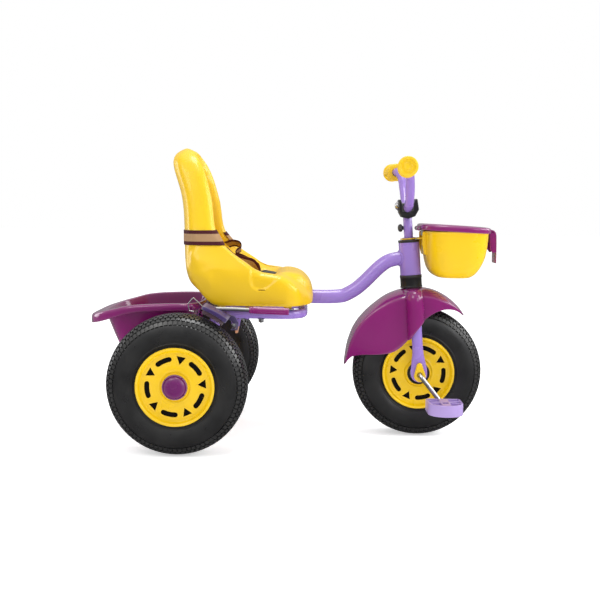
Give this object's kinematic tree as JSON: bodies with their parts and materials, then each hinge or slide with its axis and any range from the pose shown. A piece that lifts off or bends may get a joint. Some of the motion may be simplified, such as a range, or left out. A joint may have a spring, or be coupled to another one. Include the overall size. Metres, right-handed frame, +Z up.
{
  "type": "tricycle",
  "caption": "Child's pedal tricycle: tubular steel frame, moulded bucket seat with lap belt, wide tyres, tipping rear tub, hand brake and a lidded basket on the fork.",
  "frame": {"origin": "on the ground under the middle of the tricycle's overall box", "axes": "+X is the riding direction, +Z is up, +Y is the rider's left (the far side in the picture)"},
  "size_m": [0.8106, 0.5118, 0.569],
  "materials": {
    "lilac_paint": "glossy powder coat",
    "yellow_plastic": "satin gloss moulded",
    "purple_plastic": "glossy moulded",
    "black_plastic": "satin",
    "tyre_rubber": "soft sheen",
    "brake_rubber": "matt",
    "steel": "bright plated",
    "webbing": "woven webbing",
    "lilac_plastic": "satin moulded"
  },
  "bodies": {
    "frame": {"main_tube": "lilac_paint", "head_tube": "lilac_paint", "head_bush_upper": "black_plastic", "head_bush_lower": "black_plastic", "rear_u_tube": "lilac_paint", "brake_hanger_near": "lilac_paint", "brake_hanger_far": "lilac_paint", "latch_bracket": "steel", "rear_axle": "steel", "seat_bolt_near": "steel", "seat_bolt_far": "steel"},
    "seat": {"seat_shell": "yellow_plastic", "seat_rail_near": "steel", "seat_rail_far": "steel", "belt_back_strap": "webbing", "belt_end_near": "webbing", "belt_end_far": "webbing", "belt_buckle_near": "black_plastic", "belt_buckle_far": "black_plastic"},
    "tub": {"tub_shell": "purple_plastic", "tub_hinge_near": "steel", "tub_hinge_far": "steel"},
    "tub_latch": {"latch_wire": "steel"},
    "brake": {"brake_shaft": "steel", "brake_shoe_near": "lilac_paint", "brake_shoe_far": "lilac_paint", "brake_pad_near": "brake_rubber", "brake_pad_far": "brake_rubber", "brake_rod": "steel", "brake_handle": "purple_plastic"},
    "rear_wheel_near": {"rear_wheel_near_tyre": "tyre_rubber", "rear_wheel_near_rim": "yellow_plastic", "rear_wheel_near_retainer": "steel", "rear_wheel_near_cap": "purple_plastic"},
    "rear_wheel_far": {"rear_wheel_far_tyre": "tyre_rubber", "rear_wheel_far_rim": "yellow_plastic", "rear_wheel_far_retainer": "steel", "rear_wheel_far_cap": "purple_plastic"},
    "steering": {"fork": "lilac_paint", "front_fender": "purple_plastic", "axle_cover_near": "yellow_plastic", "axle_cover_far": "yellow_plastic", "basket_bracket": "yellow_plastic", "basket": "yellow_plastic", "lid_hinge_pin": "steel"},
    "handlebar": {"stem": "lilac_paint", "handlebar_tube": "lilac_paint", "bar_clamp": "black_plastic", "clamp_bolt": "steel", "height_knob": "black_plastic", "grip_near": "yellow_plastic", "grip_far": "yellow_plastic"},
    "lid": {"basket_lid": "purple_plastic"},
    "front_wheel": {"front_wheel_tyre": "tyre_rubber", "front_wheel_rim": "yellow_plastic", "crank_axle": "steel", "hub_collar_near": "black_plastic", "hub_collar_far": "black_plastic"},
    "pedal_near_body": {"pedal_near": "lilac_plastic"},
    "pedal_far_body": {"pedal_far": "lilac_plastic"}
  },
  "joints": [
    {"name": "steering", "type": "hinge", "parent": "frame", "child": "steering", "pos_m": [0.23441, 0, 0.35924], "axis": [-0.0812, 0, 0.9967], "range_deg": [-45, 45]},
    {"name": "handlebar_height", "type": "slide", "parent": "steering", "child": "handlebar", "axis": [-0.0812, 0, 0.9967], "range_m": [-0.012, 0.04]},
    {"name": "basket_lid", "type": "hinge", "parent": "steering", "child": "lid", "pos_m": [0.2496, 0, 0.418], "axis": [0, -1, 0], "range_deg": [0, 70]},
    {"name": "front_wheel_spin", "type": "hinge", "parent": "steering", "child": "front_wheel", "pos_m": [0.2531, 0, 0.13], "axis": [0, 1, 0], "continuous": true},
    {"name": "pedal_near_spin", "type": "hinge", "parent": "front_wheel", "child": "pedal_near_body", "pos_m": [0.2966, -0.12, 0.0765], "axis": [0, 1, 0], "continuous": true},
    {"name": "pedal_far_spin", "type": "hinge", "parent": "front_wheel", "child": "pedal_far_body", "pos_m": [0.2096, 0.12, 0.1835], "axis": [0, 1, 0], "continuous": true},
    {"name": "rear_wheel_near_spin", "type": "hinge", "parent": "frame", "child": "rear_wheel_near", "pos_m": [-0.208, -0.2024, 0.13], "axis": [0, 1, 0], "continuous": true},
    {"name": "rear_wheel_far_spin", "type": "hinge", "parent": "frame", "child": "rear_wheel_far", "pos_m": [-0.208, 0.2024, 0.13], "axis": [0, 1, 0], "continuous": true},
    {"name": "tub_tip", "type": "hinge", "parent": "frame", "child": "tub", "pos_m": [-0.208, 0, 0.13], "axis": [0, -1, 0], "range_deg": [0, 55]},
    {"name": "tub_latch", "type": "hinge", "parent": "frame", "child": "tub_latch", "pos_m": [-0.1569, -0.146, 0.265], "axis": [0, 1, 0], "range_deg": [0, 110]},
    {"name": "brake_lever", "type": "hinge", "parent": "frame", "child": "brake", "pos_m": [-0.1089, 0, 0.233], "axis": [0, -1, 0], "range_deg": [0, 7], "stiffness_Nm_per_rad": 3, "springref_deg": -9.17},
    {"name": "seat_slide", "type": "slide", "parent": "frame", "child": "seat", "axis": [1, 0, 0], "range_m": [0, 0.045]}
  ]
}
